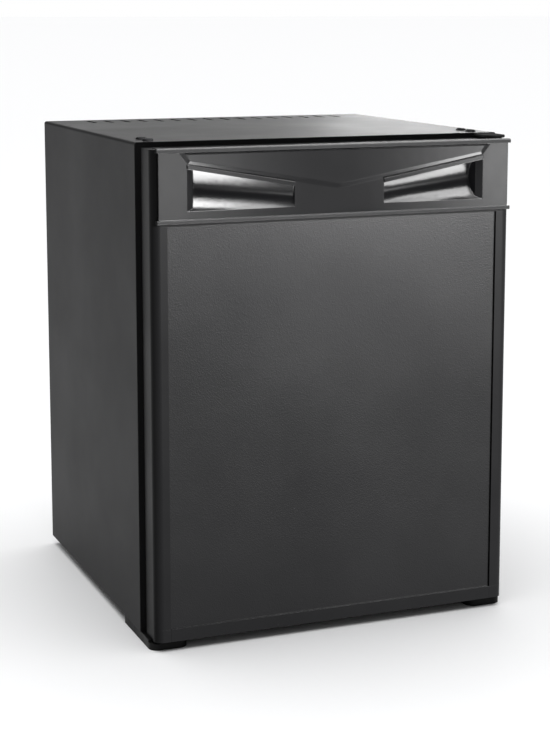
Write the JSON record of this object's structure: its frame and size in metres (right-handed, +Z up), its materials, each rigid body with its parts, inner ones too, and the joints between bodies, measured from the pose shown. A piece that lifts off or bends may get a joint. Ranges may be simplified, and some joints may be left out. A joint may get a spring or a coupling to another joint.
{
  "type": "minibar fridge",
  "caption": "Free-standing absorption minibar: black steel case on low feet, right-hinged door with a scooped handle fascia, fitted cabin and a rear cooling unit.",
  "frame": {"origin": "on the floor, under the middle of the whole object's width and depth", "axes": "+Z up, the door faces -Y, +X to the right of someone facing the door"},
  "size_m": [0.402, 0.407, 0.514],
  "materials": {
    "case_paint": "satin black powder coat",
    "hinge_paint": "black paint, satin",
    "galvanised": "zinc-plated sheet, dull spangle",
    "door_skin": "black film with a fine grain, satin",
    "frame_plastic": "black moulding, satin",
    "handle_gloss": "black moulding, high gloss",
    "liner_plastic": "light grey vacuum-formed sheet, semi-gloss",
    "foam": "rigid polyurethane foam, matte",
    "seal_rubber": "soft black seal, matte",
    "magnet_strip": "ferrite-filled strip, matte",
    "pin_steel": "turned steel, bright",
    "bush_plastic": "black bearing plastic, dull",
    "plug_plastic": "black moulding, satin",
    "foot_plastic": "black moulding, matte",
    "shelf_coat": "white plastic-coated wire, satin",
    "cold_aluminium": "extruded, satin",
    "fin_aluminium": "thin sheet, dull",
    "tray_plastic": "milky moulding, gloss",
    "lamp_plastic": "white moulding, semi-gloss",
    "lens_plastic": "clear ribbed moulding, gloss",
    "knob_plastic": "dark grey moulding, satin",
    "rack_plastic": "clear moulding, gloss",
    "unit_paint": "black stove enamel, satin",
    "wool": "mineral wool, matte",
    "box_plastic": "black moulding, fine spark texture",
    "lead_rubber": "black sleeve, matte"
  },
  "bodies": {
    "cabinet": {"case_wrap": "case_paint", "hinge_plate": "hinge_paint", "hinge_screws": "hinge_paint", "base_pan": "galvanised", "rear_skin": "galvanised", "boiler_cover": "galvanised", "boiler_strap": "galvanised", "coil_rails": "galvanised", "vessel_saddles": "galvanised", "inner_liner": "liner_plastic", "tray_runners": "liner_plastic", "insulation_foam": "foam", "upper_hinge_pin": "pin_steel", "lower_hinge_pin": "pin_steel", "foot_screws": "pin_steel", "heater_cartridge": "pin_steel", "blanking_plugs": "plug_plastic", "front_foot_left": "foot_plastic", "front_foot_right": "foot_plastic", "rear_foot_left": "foot_plastic", "rear_foot_right": "foot_plastic", "lower_shelf": "shelf_coat", "upper_shelf": "shelf_coat", "evaporator_fins": "cold_aluminium", "condenser_fins": "fin_aluminium", "lamp_housing": "lamp_plastic", "lamp_lens": "lens_plastic", "evaporator_tube": "unit_paint", "boiler_tube": "unit_paint", "condenser_tube": "unit_paint", "gas_exchanger": "unit_paint", "absorber_coil": "unit_paint", "absorber_vessel": "unit_paint", "solution_pipe": "unit_paint", "boiler_wool": "wool", "control_box": "box_plastic", "power_inlet": "box_plastic", "heater_lead": "lead_rubber"},
    "door": {"door_panel": "door_skin", "side_profile_left": "frame_plastic", "side_profile_right": "frame_plastic", "bottom_cap_left": "frame_plastic", "bottom_cap_right": "frame_plastic", "bottom_strip": "frame_plastic", "door_top_cap": "frame_plastic", "handle_fascia": "handle_gloss", "door_liner": "liner_plastic", "door_foam": "foam", "gasket": "seal_rubber", "gasket_magnet": "magnet_strip", "upper_hinge_bush": "bush_plastic", "lower_hinge_bush": "bush_plastic", "socket_plugs": "plug_plastic"},
    "knob": {"thermostat_knob": "knob_plastic"},
    "tray": {"drip_tray": "tray_plastic"},
    "lower_rack": {"lower_door_rack": "rack_plastic"},
    "upper_rack": {"upper_door_rack": "rack_plastic"}
  },
  "joints": [
    {"name": "door_hinge", "type": "hinge", "parent": "cabinet", "child": "door", "pos_m": [0.185, -0.1815, 0.26], "axis": [0, 0, 1], "range_deg": [0, 165]},
    {"name": "knob_turn", "type": "hinge", "parent": "cabinet", "child": "knob", "pos_m": [0.13, -0.1065, 0.4675], "axis": [0, 1, 0], "range_deg": [0, 270]},
    {"name": "tray_slide", "type": "slide", "parent": "cabinet", "child": "tray", "axis": [0, -1, 0], "range_m": [0, 0.05]},
    {"name": "lower_rack_lift", "type": "slide", "parent": "door", "child": "lower_rack", "axis": [0, 0, 1], "range_m": [0, 0.02]},
    {"name": "upper_rack_lift", "type": "slide", "parent": "door", "child": "upper_rack", "axis": [0, 0, 1], "range_m": [0, 0.02]}
  ]
}
